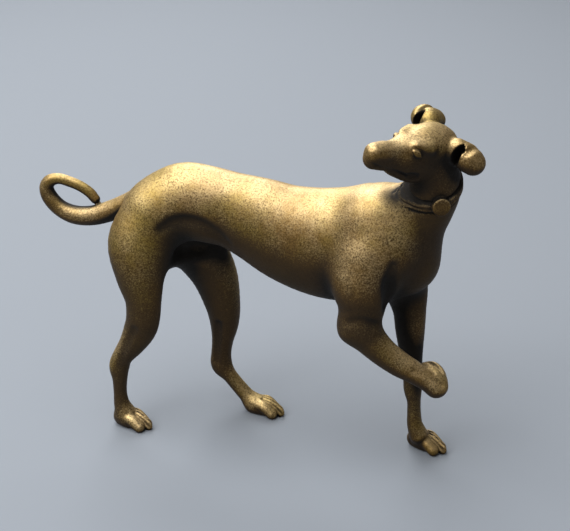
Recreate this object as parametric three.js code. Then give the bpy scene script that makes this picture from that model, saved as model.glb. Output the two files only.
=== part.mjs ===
// A standing hound, cast in one piece: millimetres, +Z up, the chest towards +X.
// It stands on two hind paws and its left forepaw, holds up its folded right forepaw,
// and looks back over its right side. A collar with a round tag is part of the casting.
import * as THREE from 'three';

// Driving dimensions, millimetres. The casting measures within a millimetre of LENGTH.
const LENGTH = 125;
const COLLAR_WIDTH = 2.2;
const COLLAR_RELIEF = 0.65;
const TAG_DIAMETER = 4.8;
const TAG_THICKNESS = 1.8;

// Pose of the head, degrees: turned from straight ahead, lifted, and rolled about the nose
const HEAD_TURN = -124;
const HEAD_LIFT = 9.5;
const HEAD_ROLL = -18;

// Headings of the standing paws, degrees from straight ahead
const PAW_HEADINGS = { right_hind: -12, left_hind: -10, left_fore: -20 };

// Fineness of the surface
const GRID_CELLS = 160;
const BLOCK_CELLS = 4;
const STEPS_PER_STATION = 4;
const REACH_MARGIN = 1.3;
const SURFACE_TRIANGLES = 9600;
const EDGE_WEIGHT = 0.0001;

// All stations below are hundredths of LENGTH, so the figure keeps its pose at any size.
const SHARE = LENGTH / 100;
const FAR = 50 * SHARE;
const FILLED_DEPTH = 0.1 * SHARE;

// Each station: along X, across Y, up Z, then half the depth and half the width of the section
const TRUNK = [
  { name: 'torso', blend: 2.4, stations: [
    [-30.4, 0, 50.8, 4, 4.8], [-26.8, 0, 52.2, 7.2, 6.1], [-22.6, 0, 53.4, 8.6, 6.8],
    [-18, 0, 53.2, 8.7, 6.7], [-12, 0, 52.5, 8.5, 6.4], [-5.5, 0, 50.7, 9.6, 7.2],
    [1, 0, 48.4, 10.9, 8], [8, 0, 47.3, 12.1, 8.6], [14.3, 0, 47.5, 12.6, 8.8],
    [19.5, 0, 47.8, 12, 8.4], [24, 0, 46.6, 9.2, 7.2]] },
  { name: 'breastbone', blend: 4, stations: [
    [24, 0, 48.5, 6.3, 6.2], [27.4, 0, 45.2, 3.9, 4.4]] },
  { name: 'neck', blend: 4, stations: [
    [22, 0, 52.3, 9.6, 7.6], [26, -0.4, 54.7, 8, 6.8], [30, -1, 58.9, 6.1, 5.6],
    [32, -1.8, 63.4, 5.4, 5], [32.6, -2.4, 67.4, 4.2, 4.5]] },
];

const LIMBS = [
  { name: 'groin', blend: 4, stations: [[-28.2, 0, 44.5, 5, 4.6], [-27.9, 0, 41, 3.4, 4]] },
  { name: 'right_thigh', blend: 4.8, stations: [
    [-29.8, -3.6, 50.8, 6, 4.4], [-31.8, -5.6, 44.8, 6.8, 4.8], [-31.3, -6.8, 38.2, 5.5, 4.4],
    [-30.4, -7.6, 32.7, 4.1, 3.6], [-30.5, -8, 28, 3.8, 3], [-31.4, -8, 25, 3.6, 2.6],
    [-33.4, -7.8, 21.3, 2.9, 2.4], [-35.8, -7.6, 17.8, 2.3, 2], [-36.9, -7.4, 14.9, 2.3, 2],
    [-36.9, -7.4, 11.8, 1.7, 1.7], [-37, -7.3, 8.4, 1.5, 1.5], [-36.8, -7.2, 5.4, 1.8, 1.7],
    [-36, -7.2, 3.1, 2.3, 2.2]] },
  { name: 'left_thigh', blend: 4.8, stations: [
    [-26, 3.6, 47, 6, 4.4], [-22.6, 5.4, 41, 6.4, 4.8], [-19, 6.8, 34, 5.4, 4.2],
    [-17.2, 7.4, 26.5, 4.1, 3.6], [-16.9, 7.7, 21.5, 3.3, 3], [-17.3, 7.6, 17.4, 2.5, 2.6],
    [-17.7, 7.5, 13.8, 2.3, 2.2], [-17.6, 7.4, 10.7, 2.5, 2], [-15.8, 7.4, 8.3, 1.7, 1.8],
    [-13.6, 7.4, 5.7, 1.7, 1.6], [-11.4, 7.3, 3.4, 1.8, 1.7], [-9.6, 7.2, 2, 2, 2]] },
  { name: 'right_shoulder', blend: 4.8, stations: [
    [20.1, -5.2, 55.5, 5.2, 3.2], [21.6, -6.4, 49.9, 5.9, 4], [19.3, -7.6, 43.7, 5.2, 4]] },
  { name: 'right_upper_arm', blend: 3.2, stations: [
    [19.5, -7.2, 47.2, 5.4, 4], [18.5, -8.4, 41.7, 5.4, 4.2], [18.8, -8.6, 38.2, 5, 3.8],
    [18.3, -8.6, 34.4, 4.3, 3.4], [17.2, -8.6, 32.4, 2.9, 3]] },
  { name: 'right_forearm', blend: 2.4, stations: [
    [17.6, -8.6, 32.6, 3.4, 3], [20.2, -8.5, 30.6, 3.6, 3.1], [23.4, -8, 27.4, 3.1, 2.9],
    [26.9, -7.4, 24.7, 2.8, 2.6], [30.3, -6.9, 22.8, 2.5, 2.3], [33.1, -6.4, 21.1, 2.4, 2.3],
    [34.8, -6.1, 19.8, 2.3, 2.4]] },
  { name: 'right_forepaw', blend: 1.2, stations: [
    [34.8, -5.8, 19.8, 2.3, 2.3], [34.6, -4.6, 21.2, 2, 2.4], [33.3, -3.5, 22, 1.8, 2.6],
    [31.9, -2.8, 22.2, 1.3, 2.1]] },
  { name: 'left_foreleg', blend: 3.2, stations: [
    [23.8, 4.6, 42.7, 5.6, 4], [25.4, 4.2, 37.7, 4.9, 3.8], [26.6, 3.4, 32.8, 3.7, 3.3],
    [27.1, 2.6, 27.9, 3.2, 2.9], [27.6, 1.9, 23.4, 2.6, 2.5], [28.2, 1.3, 18.9, 2.1, 2.2],
    [28.5, 0.8, 14.8, 2, 2.1], [28.9, 0.5, 12, 1.5, 1.8], [29.1, 0.2, 9.2, 1.5, 1.8],
    [29.4, 0, 6.4, 1.7, 1.9], [30.2, 0.2, 4, 2, 2.4]] },
  { name: 'tail', blend: 0.8, stations: [
    [-28.6, 0, 55.6, 3.2, 3.4], [-32.2, 0, 53.6, 2.7, 2.8], [-36, 0, 51.5, 2.3, 2.4],
    [-40.6, 0, 49.1, 2.3, 2.3], [-45, 0, 47.6, 2.2, 2.2], [-49, 0, 47.4, 2.1, 2],
    [-52.3, 0, 48.6, 1.9, 1.8], [-54.6, 0, 50.9, 1.8, 1.7], [-55.3, 0, 53.2, 1.6, 1.5],
    [-54.3, 0, 54.9, 1.4, 1.4], [-52.3, 0.2, 55.5, 1.2, 1.2], [-50, 0.4, 55, 1.2, 1.1],
    [-47.6, 0.5, 54.2, 1.2, 1], [-45.4, 0.6, 52.9, 1.2, 1], [-44.1, 0.7, 51.4, 1.1, 1]] },
];

// Creases cut into the body: over the flank fold, between the thighs, and before the shoulder
const CREASES = [
  { name: 'flank', blend: 1.8, cut: true, stations: [
    [-25.4, -8.2, 49.6, 0.5, 0.5], [-23, -7.8, 51, 1, 1], [-20, -7.3, 51.5, 1.1, 1.1],
    [-17, -7.1, 51, 1, 1], [-14.3, -6.5, 49.4, 0.7, 0.7], [-12, -5.9, 47.2, 0.4, 0.4]] },
  { name: 'between_thighs', blend: 2, cut: true, stations: [
    [-22.6, -1.6, 42, 2.2, 2.6], [-19, -1, 42.6, 2.6, 3.4], [-15.6, -0.4, 42.6, 1.6, 2.6]] },
  { name: 'shoulder_front', blend: 1.8, cut: true, stations: [
    [25.7, -10.6, 48.4, 0.3, 0.3], [25.3, -10.8, 46.4, 0.6, 0.6], [24.8, -10.4, 44, 0.9, 0.9],
    [24.5, -9.3, 41, 0.9, 0.9], [24, -8.6, 38.6, 0.7, 0.7]] },
];

// Head stations run forward, to the dog's left and up from the middle of the skull.
const HEAD_CENTRE = [31.4, -3.2, 72.9];
const HEAD = [
  { name: 'skull', blend: 2.4, stations: [
    [-1.8, 0.2, 0.2, 3.6, 4.1], [0, 0.1, 0.4, 4, 4.7], [2.9, 0, 0.1, 3.9, 4.2],
    [6.4, 0, -0.9, 3.2, 3.2]] },
  { name: 'muzzle', blend: 2, stations: [
    [3.5, 0, -1.7, 3.3, 3.2], [7.4, 0, -1.9, 3.3, 2.9], [10.5, 0, -1.9, 3, 2.4],
    [13.4, 0, -1.8, 2.6, 2.1], [15, 0, -1.7, 2.3, 1.9]] },
  { name: 'nose', blend: 1.2, stations: [
    [13.6, 0, -0.6, 1.5, 1.8], [16.1, 0, -0.7, 1.5, 1.7]] },
  { name: 'chin', blend: 1.2, stations: [
    [12, 0, -2.8, 1.8, 1.8], [15.6, 0, -2.8, 1.5, 1.5]] },
  { name: 'brow', blend: 1.4, paired: true, stations: [
    [4.4, 3.3, 1.6, 1, 1.1], [7.4, 2.5, 1.5, 0.7, 0.8]] },
  { name: 'cheek', blend: 2.4, paired: true, stations: [
    [0.8, 2.1, -4.2, 3.4, 2.4], [5.6, 1.8, -4.3, 2.9, 2.2], [8.4, 1.1, -4, 2.1, 1.6]] },
  { name: 'left_ear', blend: 0.8, across: [1, 0, 0], stations: [
    [-2, 4.8, 1.4, 2.6, 2.2], [-3.2, 6.9, 1, 2.8, 3], [-4, 8.2, 0.5, 2.5, 2.6]] },
  { name: 'left_ear_opening', blend: 0.4, cut: true, stations: [
    [1.8, 6.7, 0.6, 2.5, 0.9], [-0.8, 6.3, 1, 2.7, 1], [-2.6, 5.9, 1.4, 1.8, 0.7]] },
  { name: 'right_ear', blend: 0.8, across: [1, 0, 0], stations: [
    [-2.4, -5, 1.6, 2.6, 2.2], [-3.7, -7.2, 1.4, 2.8, 3], [-4.5, -8.3, 1, 2.5, 2.6]] },
  { name: 'right_ear_back', blend: 1, stations: [
    [-2.8, -5.4, 2.2, 2.3, 2.3], [-5.2, -5.8, 1.9, 1.9, 2.1]] },
  { name: 'right_ear_opening', blend: 0.4, cut: true, stations: [
    [1.6, -6.8, 1.8, 2.1, 1.2], [-1.2, -6.5, 1.4, 2.5, 1.2], [-3.2, -6.5, 1.2, 1.5, 0.9]] },
];

// A paw runs forward from its heel: along, across, up, half the height, half the width.
const PAWS = [
  { name: 'right_hind', heel: [-37, -6.7], size: 1 },
  { name: 'left_hind', heel: [-10, 7.2], size: 1 },
  { name: 'left_fore', heel: [29.3, 2.2], size: 1 },
];
const PAW_PAD = [[0, 0, 1.6, 2, 1.8], [2.4, 0, 1.5, 2, 2.3], [4.6, 0, 1.1, 1.2, 2.2]];
const PAW_BLEND = 1.6;
const TOE_BLEND = 0.3;
const TOES = [[-1.9, 1.15], [-0.35, 0.8], [0.95, 0.8], [2.15, 0.85]]; // across, half the width

// The collar lies in one slanting plane round the neck, and its tag hangs at the throat.
const COLLAR_CENTRE = [31, -1.6, 64.1];
const COLLAR_NORMAL = new THREE.Vector3(0, -0.6, 0.8);
const COLLAR_REACH = 8.4;
const TAG_CENTRE = [34.3, -6.9, 61.1];
const TAG_NORMAL = new THREE.Vector3(0.45, -0.9, -0.05).normalize();

// A smooth run of stations through the given ones
function smoothStations(rows) {
  const last = rows.length - 1;
  const run = [];
  const beyond = (a, b) => a.map((value, i) => 2 * value - b[i]);
  for (let i = 0; i < last; i += 1) {
    const [b, c] = [rows[i], rows[i + 1]];
    const a = i > 0 ? rows[i - 1] : beyond(b, c);
    const d = i < last - 1 ? rows[i + 2] : beyond(c, b);
    for (let step = 0; step < STEPS_PER_STATION; step += 1) {
      const t = step / STEPS_PER_STATION;
      run.push(b.map((value, j) => 0.5 * (2 * value + (c[j] - a[j]) * t
        + (2 * a[j] - 5 * value + 4 * c[j] - d[j]) * t ** 2
        + (3 * value - a[j] - 3 * c[j] + d[j]) * t ** 3)));
    }
  }
  run.push(rows[last]);
  return run;
}

// One stroke of the body: an oval section carried along its stations
function makeStroke({ stations, blend, across = [0, 1, 0], cut = false }) {
  const run = smoothStations(stations.map((row) => row.map((value) => value * SHARE)));
  const last = run.length - 1;
  const side = new THREE.Vector3(...across);
  const box = new THREE.Box3();
  const sections = run.map((row, i) => {
    const point = new THREE.Vector3().fromArray(row);
    const before = new THREE.Vector3().fromArray(run[Math.max(i - 1, 0)]);
    const along = new THREE.Vector3().fromArray(run[Math.min(i + 1, last)]).sub(before).normalize();
    const lateral = side.clone().addScaledVector(along, -side.dot(along)).normalize();
    const reach = REACH_MARGIN * (Math.max(row[3], row[4]) + point.distanceTo(before));
    box.expandByPoint(point);
    return [point.x, point.y, point.z, row[3], row[4], lateral.x, lateral.y, lateral.z, reach];
  });
  const widest = Math.max(...sections.map((row) => Math.max(row[3], row[4])));
  box.expandByScalar(widest + blend * SHARE + SHARE);
  return { sections, box, blend: blend * SHARE, cut };
}

// Distance from a point to a stroke, negative inside, or the limit where the stroke lies beyond it
function strokeDistance({ sections }, x, y, z, limit) {
  let best = limit;
  for (let i = 0; i + 1 < sections.length; i += 1) {
    const a = sections[i];
    const b = sections[i + 1];
    const ux = b[0] - a[0];
    const uy = b[1] - a[1];
    const uz = b[2] - a[2];
    const px = x - a[0];
    const py = y - a[1];
    const pz = z - a[2];
    if (px * px + py * py + pz * pz > (Math.max(best, 0) + a[8]) ** 2) {
      continue;
    }
    const share = (px * ux + py * uy + pz * uz) / (ux * ux + uy * uy + uz * uz);
    const t = Math.min(Math.max(share, 0), 1);
    const qx = px - t * ux;
    const qy = py - t * uy;
    const qz = pz - t * uz;
    const depth = a[3] + (b[3] - a[3]) * t;
    const width = a[4] + (b[4] - a[4]) * t;
    const sideways = qx * (a[5] + (b[5] - a[5]) * t) + qy * (a[6] + (b[6] - a[6]) * t)
      + qz * (a[7] + (b[7] - a[7]) * t);
    const rest = Math.max(qx * qx + qy * qy + qz * qz - sideways * sideways, 0);
    const scaled = Math.sqrt(rest / depth ** 2 + (sideways / width) ** 2);
    const slope = Math.sqrt(rest / depth ** 4 + (sideways / width ** 2) ** 2) + 1e-9;
    const distance = scaled < 1e-4 ? -Math.min(depth, width) : scaled * (scaled - 1) / slope;
    if (distance < best) {
      best = distance;
    }
  }
  return best;
}

// The smaller of two distances, rounded where they meet
function blendedMinimum(a, b, blend) {
  const nearness = Math.max(blend - Math.abs(a - b), 0) / blend;
  return Math.min(a, b) - nearness * nearness * blend / 4;
}

function addStrokes(strokes, distance, x, y, z) {
  let result = distance;
  for (const stroke of strokes) {
    const { min, max } = stroke.box;
    const near = x > min.x && x < max.x && y > min.y && y < max.y && z > min.z && z < max.z;
    if (near) {
      const limit = (stroke.cut ? -result : result) + stroke.blend;
      const own = strokeDistance(stroke, x, y, z, limit);
      result = stroke.cut
        ? -blendedMinimum(-result, own, stroke.blend)
        : blendedMinimum(result, own, stroke.blend);
    }
  }
  return result;
}

const collarCentre = new THREE.Vector3(...COLLAR_CENTRE).multiplyScalar(SHARE);
const tagCentre = new THREE.Vector3(...TAG_CENTRE).multiplyScalar(SHARE);
const offset = new THREE.Vector3();

// The collar band follows the neck and stands proud of it, and the tag is a round disc on it.
function addCollar(distance, x, y, z) {
  offset.set(x, y, z).sub(collarCentre);
  if (offset.length() > COLLAR_REACH * SHARE) {
    return distance;
  }
  const fromPlane = Math.abs(offset.dot(COLLAR_NORMAL));
  const band = Math.max(distance - COLLAR_RELIEF, fromPlane - COLLAR_WIDTH / 2);
  offset.set(x, y, z).sub(tagCentre);
  const height = offset.dot(TAG_NORMAL);
  const radius = Math.sqrt(Math.max(offset.lengthSq() - height * height, 0));
  const tag = Math.max(radius - TAG_DIAMETER / 2, Math.abs(height) - TAG_THICKNESS / 2);
  return Math.min(distance, band, tag);
}

// The head's own axes as the columns of a matrix, with its place
function headFrame() {
  const lift = new THREE.Matrix4().makeRotationY(-THREE.MathUtils.degToRad(HEAD_LIFT));
  const roll = new THREE.Matrix4().makeRotationX(THREE.MathUtils.degToRad(HEAD_ROLL));
  const frame = new THREE.Matrix4().makeRotationZ(THREE.MathUtils.degToRad(HEAD_TURN));
  return frame.multiply(lift).multiply(roll).setPosition(...HEAD_CENTRE);
}

// Turns stations of a local frame into stations of the whole figure
function placed({ stations, across = [0, 1, 0], ...rest }, frame, size = 1) {
  const moved = stations.map(([a, b, c, depth, width]) => {
    const point = new THREE.Vector3(a, b, c).multiplyScalar(size).applyMatrix4(frame);
    return [...point.toArray(), depth * size, width * size];
  });
  const side = new THREE.Vector3(...across).transformDirection(frame);
  return makeStroke({ ...rest, stations: moved, across: side.toArray() });
}

function headStrokes() {
  const frame = headFrame();
  return HEAD.flatMap((piece) => (piece.paired ? [1, -1] : [1]).map((sign) => {
    const stations = piece.stations.map(([a, b, ...rest]) => [a, sign * b, ...rest]);
    return placed({ ...piece, stations }, frame);
  }));
}

// A paw is a pad under four toes, the outer toes a little shorter.
function pawStrokes({ name, heel, size }) {
  const frame = new THREE.Matrix4().makeRotationZ(THREE.MathUtils.degToRad(PAW_HEADINGS[name]));
  frame.setPosition(heel[0], heel[1], 0);
  const toes = TOES.map(([across, width]) => {
    const reach = 1 - 0.075 * across * across;
    return { blend: TOE_BLEND, stations: [
      [1.5, 0.7 * across, 2.6, 1, width],
      [4.2 * reach, 0.95 * across, 2.3, 1.2, width],
      [6.7 * reach, across, 1, 1.2, width]] };
  });
  return [{ blend: PAW_BLEND, stations: PAW_PAD }, ...toes].map((row) => placed(row, frame, size));
}

const trunk = TRUNK.map(makeStroke);
const rest = [...LIMBS, ...CREASES].map(makeStroke)
  .concat(headStrokes(), PAWS.flatMap(pawStrokes));

function bodyDistance(x, y, z) {
  const neckAndTorso = addStrokes(trunk, FAR, x, y, z);
  return addStrokes(rest, addCollar(neckAndTorso, x, y, z), x, y, z);
}

// Distances on a grid, exact only near the surface
function sampleGrid(origin, counts, step) {
  const [nx, ny, nz] = counts;
  const values = new Float32Array(nx * ny * nz).fill(FAR);
  const middle = (BLOCK_CELLS - 1) / 2;
  const reach = step * BLOCK_CELLS * 1.25 + 0.5 * SHARE;
  const blocks = counts.map((count) => Math.ceil(count / BLOCK_CELLS));
  const place = (axis, index) => origin[axis] + step * index;
  for (let b = 0; b < blocks[0] * blocks[1] * blocks[2]; b += 1) {
    const i0 = (b % blocks[0]) * BLOCK_CELLS;
    const j0 = (Math.floor(b / blocks[0]) % blocks[1]) * BLOCK_CELLS;
    const k0 = Math.floor(b / (blocks[0] * blocks[1])) * BLOCK_CELLS;
    const centre = bodyDistance(place(0, i0 + middle), place(1, j0 + middle), place(2, k0 + middle));
    for (let k = k0; k < Math.min(k0 + BLOCK_CELLS, nz); k += 1) {
      for (let j = j0; j < Math.min(j0 + BLOCK_CELLS, ny); j += 1) {
        for (let i = i0; i < Math.min(i0 + BLOCK_CELLS, nx); i += 1) {
          values[i + nx * (j + ny * k)] = Math.abs(centre) < reach
            ? bodyDistance(place(0, i), place(1, j), place(2, k)) : centre;
        }
      }
    }
  }
  return values;
}

// Whether the marked corners of a cell, one bit each, hang together along its edges
function isJoined(pattern) {
  let reached = pattern & -pattern;
  for (let round = 0; round < 8; round += 1) {
    for (let corner = 0; corner < 8; corner += 1) {
      if ((reached >> corner) & 1) {
        reached |= pattern & ((1 << (corner ^ 1)) | (1 << (corner ^ 2)) | (1 << (corner ^ 4)));
      }
    }
  }
  return reached === pattern;
}

// Fills the cells that two separate bits of the surface would cross, so that it never touches itself
function fillDoubleCrossings(values, [nx, ny, nz]) {
  const single = Array.from({ length: 256 }, (_, p) => isJoined(p) && isJoined(255 - p));
  const corners = [0, 1, 2, 3, 4, 5, 6, 7].map((c) => (c & 1) + nx * ((c >> 1) & 1) + nx * ny * (c >> 2));
  const lastCell = values.length - corners[7];
  let changed = true;
  while (changed) {
    changed = false;
    for (let cell = 0; cell < lastCell; cell += 1) {
      let pattern = 0;
      for (let c = 0; c < 8; c += 1) {
        pattern |= values[cell + corners[c]] < 0 ? 1 << c : 0;
      }
      if (!single[pattern]) {
        const outside = corners.map((corner) => cell + corner).filter((at) => values[at] >= 0);
        const nearest = outside.reduce((best, at) => (values[at] < values[best] ? at : best));
        values[nearest] = -FILLED_DEPTH;
        changed = true;
      }
    }
  }
}

// One vertex in each grid cell that the surface crosses, joined across the crossed grid edges
function surfaceNet(values, origin, counts, step) {
  const [nx, ny, nz] = counts;
  const strides = [1, nx, nx * ny];
  const vertexOf = new Int32Array(values.length).fill(-1);
  const points = [];
  const triangles = [];
  const corners = [0, 1, 2, 3, 4, 5, 6, 7].map((c) => [c & 1, (c >> 1) & 1, c >> 2]);
  const crossing = (cell) => {
    const sum = [0, 0, 0];
    let count = 0;
    for (const corner of corners) {
      for (let axis = 0; axis < 3; axis += 1) {
        const start = cell + corner[0] + nx * corner[1] + nx * ny * corner[2];
        const a = values[start];
        const b = values[start + strides[axis]];
        if (corner[axis] === 0 && (a < 0) !== (b < 0)) {
          corner.forEach((value, m) => { sum[m] += value + (m === axis ? a / (a - b) : 0); });
          count += 1;
        }
      }
    }
    return count > 0 ? sum.map((value) => value / count) : null;
  };
  for (let k = 0; k < nz - 1; k += 1) {
    for (let j = 0; j < ny - 1; j += 1) {
      for (let i = 0; i < nx - 1; i += 1) {
        const cell = i + nx * (j + ny * k);
        const inner = crossing(cell);
        if (inner) {
          vertexOf[cell] = points.length;
          points.push([i, j, k].map((index, m) => origin[m] + step * (index + inner[m])));
        }
      }
    }
  }
  for (let start = 0; start < values.length; start += 1) {
    for (let axis = 0; axis < 3; axis += 1) {
      const a = values[start];
      const b = values[start + strides[axis]];
      if ((a < 0) !== (b < 0)) {
        const [u, v] = [strides[(axis + 1) % 3], strides[(axis + 2) % 3]];
        const ring = [start - u - v, start - v, start, start - u].map((cell) => vertexOf[cell]);
        const [p, q, r, s] = a < 0 ? ring : ring.reverse();
        triangles.push([p, q, r], [p, r, s]);
      }
    }
  }
  return { points, triangles };
}

// Moves each vertex onto the true surface
function settle(points) {
  const probe = 0.02 * SHARE;
  for (const point of points) {
    for (let round = 0; round < 2; round += 1) {
      const [x, y, z] = point;
      const here = bodyDistance(x, y, z);
      const slope = [bodyDistance(x + probe, y, z), bodyDistance(x, y + probe, z),
        bodyDistance(x, y, z + probe)].map((value) => (value - here) / probe);
      const steepness = Math.max(slope[0] ** 2 + slope[1] ** 2 + slope[2] ** 2, 0.1);
      const move = THREE.MathUtils.clamp(here / steepness, -0.2 * SHARE, 0.2 * SHARE);
      slope.forEach((value, m) => { point[m] -= move * value; });
    }
  }
}

// How far a point lies from the planes summed in a quadric
function planeError(q, [x, y, z]) {
  return q[0] * x * x + q[4] * y * y + q[7] * z * z + q[9]
    + 2 * (q[1] * x * y + q[2] * x * z + q[3] * x + q[5] * y * z + q[6] * y + q[8] * z);
}

function faceNormal(points, corners, moved, place) {
  const [a, b, c] = corners.map((v) => new THREE.Vector3(...(moved.includes(v) ? place : points[v])));
  return b.sub(a).cross(c.sub(a));
}

function quadrics({ points, triangles }) {
  const sums = points.map(() => new Float64Array(10));
  for (const corners of triangles) {
    const normal = faceNormal(points, corners, [], null);
    const area = normal.length() / 2;
    const { x, y, z } = normal.normalize();
    const d = -normal.dot(new THREE.Vector3(...points[corners[0]]));
    const plane = [x * x, x * y, x * z, x * d, y * y, y * z, y * d, z * z, z * d, d * d];
    corners.forEach((v) => plane.forEach((value, m) => { sums[v][m] += area * value; }));
  }
  return sums;
}

// The best place for the one vertex that takes the place of an edge, and what it costs
function cheapest(points, sums, a, b) {
  const both = sums[a].map((value, m) => value + sums[b][m]);
  const middle = points[a].map((value, m) => (value + points[b][m]) / 2);
  const length = Math.hypot(...points[a].map((value, m) => value - points[b][m]));
  const options = [middle, points[a], points[b]].map((place) => ({
    a, b, place, both, cost: planeError(both, place) + EDGE_WEIGHT * length ** 4 }));
  return options.reduce((best, option) => (option.cost < best.cost ? option : best));
}

function ringOf(mesh, v) {
  const ring = new Set([...mesh.around[v]].flatMap((t) => mesh.triangles[t]));
  ring.delete(v);
  return ring;
}

// An edge may go if its ends share just two neighbours, no triangle around it turns over and
// it doesn't join a flat sole to the rest.
function mayCollapse(mesh, { a, b, place }, ringA, ringB) {
  const onGround = [a, b].filter((v) => mesh.points[v][2] === 0).length;
  if (onGround === 1 || [...ringA].filter((v) => ringB.has(v)).length !== 2) {
    return false;
  }
  const kept = [...mesh.around[a], ...mesh.around[b]].map((t) => mesh.triangles[t])
    .filter((corners) => !(corners.includes(a) && corners.includes(b)));
  return kept.every((corners) => {
    const before = faceNormal(mesh.points, corners, [], null);
    const after = faceNormal(mesh.points, corners, [a, b], place);
    return before.dot(after) > 0.4 * before.length() * after.length() && after.length() > 0;
  });
}

// Collapses the cheapest edges in passes until few enough triangles are left
function simplify(mesh, target) {
  const sums = quadrics(mesh);
  mesh.around = mesh.points.map(() => new Set());
  mesh.triangles.forEach((corners, t) => corners.forEach((v) => mesh.around[v].add(t)));
  let left = mesh.triangles.length;
  while (left > target) {
    const edges = [];
    for (const corners of mesh.triangles) {
      for (let m = 0; corners && m < 3; m += 1) {
        const [a, b] = [corners[m], corners[(m + 1) % 3]];
        if (a < b) {
          edges.push(cheapest(mesh.points, sums, a, b));
        }
      }
    }
    edges.sort((p, q) => p.cost - q.cost || p.a - q.a || p.b - q.b);
    const touched = new Set();
    const before = left;
    for (const edge of edges.slice(0, Math.ceil(edges.length / 5))) {
      const { a, b } = edge;
      if (left > target && !touched.has(a) && !touched.has(b)) {
        const [ringA, ringB] = [ringOf(mesh, a), ringOf(mesh, b)];
        if (mayCollapse(mesh, edge, ringA, ringB)) {
          collapse(mesh, edge);
          sums[a] = edge.both;
          left -= 2;
          [a, b, ...ringA, ...ringB].forEach((v) => touched.add(v));
        }
      }
    }
    if (left === before) {
      break;
    }
  }
}

function collapse(mesh, { a, b, place }) {
  mesh.points[a] = place;
  for (const t of [...mesh.around[b]]) {
    const corners = mesh.triangles[t];
    if (corners.includes(a)) {
      corners.forEach((v) => mesh.around[v].delete(t));
      mesh.triangles[t] = null;
    } else {
      mesh.triangles[t] = corners.map((v) => (v === b ? a : v));
      mesh.around[a].add(t);
    }
  }
  mesh.around[b].clear();
}

// The whole casting, with its paws flat where it stands
function figureGeometry() {
  const box = [...trunk, ...rest].filter((stroke) => !stroke.cut)
    .reduce((sum, stroke) => sum.union(stroke.box), new THREE.Box3());
  const step = LENGTH / GRID_CELLS;
  const origin = box.min.toArray();
  const counts = box.getSize(new THREE.Vector3()).toArray().map((size) => Math.ceil(size / step) + 1);
  const values = sampleGrid(origin, counts, step);
  fillDoubleCrossings(values, counts);
  const mesh = surfaceNet(values, origin, counts, step);
  settle(mesh.points);
  mesh.points.forEach((point) => { point[2] = Math.max(point[2], 0); });
  simplify(mesh, SURFACE_TRIANGLES);
  const corners = mesh.triangles.filter(Boolean).flat();
  const used = [...new Set(corners)];
  const indexOf = new Map(used.map((v, i) => [v, i]));
  const geometry = new THREE.BufferGeometry();
  const places = used.flatMap((v) => mesh.points[v]);
  geometry.setAttribute('position', new THREE.Float32BufferAttribute(places, 3));
  geometry.setIndex(corners.map((v) => indexOf.get(v)));
  geometry.computeBoundingBox();
  const centre = geometry.boundingBox.getCenter(new THREE.Vector3());
  geometry.translate(-centre.x, -centre.y, 0);
  geometry.computeVertexNormals();
  return geometry;
}

const agedBrass = new THREE.MeshStandardMaterial({ color: 0x8f7443, roughness: 0.42, metalness: 0.9 });
const figure = new THREE.Mesh(figureGeometry(), agedBrass);
figure.name = 'dog_figure';

const group = new THREE.Group();
group.add(figure);

export default group;
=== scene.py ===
# A standing hound in aged brass, on a pale floor in soft studio light.
# The casting is one field of blended strokes, meshed on a grid and refined where the carving is
# fine. Its stations are hundredths of the figure's length; the scene is in metres.
import math

import bpy
import numpy as np
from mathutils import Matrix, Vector


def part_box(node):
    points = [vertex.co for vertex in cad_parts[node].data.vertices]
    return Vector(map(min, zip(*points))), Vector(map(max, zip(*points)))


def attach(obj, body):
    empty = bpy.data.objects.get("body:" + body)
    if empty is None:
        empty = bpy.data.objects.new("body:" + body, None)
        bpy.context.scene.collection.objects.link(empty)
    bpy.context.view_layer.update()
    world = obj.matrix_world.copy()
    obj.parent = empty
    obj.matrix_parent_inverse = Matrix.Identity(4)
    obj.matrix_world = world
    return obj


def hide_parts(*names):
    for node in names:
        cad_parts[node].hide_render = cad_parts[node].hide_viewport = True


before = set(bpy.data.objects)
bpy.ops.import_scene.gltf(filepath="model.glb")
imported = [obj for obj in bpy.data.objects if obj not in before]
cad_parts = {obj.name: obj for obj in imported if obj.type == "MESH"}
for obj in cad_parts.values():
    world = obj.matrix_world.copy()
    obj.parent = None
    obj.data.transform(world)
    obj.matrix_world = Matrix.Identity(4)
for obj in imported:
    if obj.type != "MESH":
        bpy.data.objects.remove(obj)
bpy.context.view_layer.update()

SHARE = 1.25          # millimetres in a hundredth of the length
MM = 0.001
FAR = 60.0            # the distance given where no stroke is near

# Fineness of the surface, millimetres unless stated
GRID_STEP = 0.68
BLOCK = 4                           # grid points on a side of the blocks sampled first
STEPS_PER_STATION = 5
FINE_EDGE = 0.3
FINEST_EDGE = 0.2
SPLIT_RATIO = 1.4                   # longer edges than this many fine ones are split
HEAD_LEVEL, PAW_LEVEL = 75.0, 6.0   # above and below these the whole surface is fine
CREASE_ANGLE = 13.0                 # degrees between the normals at an edge's ends
SOLE_LEVEL = 0.3                    # vertices below it stay put when the rest are evened out
FILLED_DEPTH = 0.1                  # how deep inside a filled grid point is taken to be
LONGEST_MOVE = 0.3                  # of a vertex in one round of settling

# Collar and tag, millimetres
COLLAR_WIDTH = 2.2
COLLAR_RELIEF = 0.65
COLLAR_GROOVE = 0.5   # depth of the grooves along its edges
COLLAR_LINE = 0.3     # depth of the line along its middle
COLLAR_FADE = 0.7     # share of its reach where it starts to fade out
TAG_DIAMETER = 4.8
TAG_THICKNESS = 1.8
TAG_ROUNDING = 0.4

# Where the hollows and overhangs that set the painted shade are looked for, millimetres
SHELTER_REACHES = ((0.7, 0.2), (1.8, 0.2), (4.5, 0.25), (9.0, 0.2), (16.0, 0.08))   # and weights
COVER_RISES = (1.5, 3.5, 7.0)
COVER_CLEARANCE = 0.4
COVER_SHARPNESS = 2.2

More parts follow.
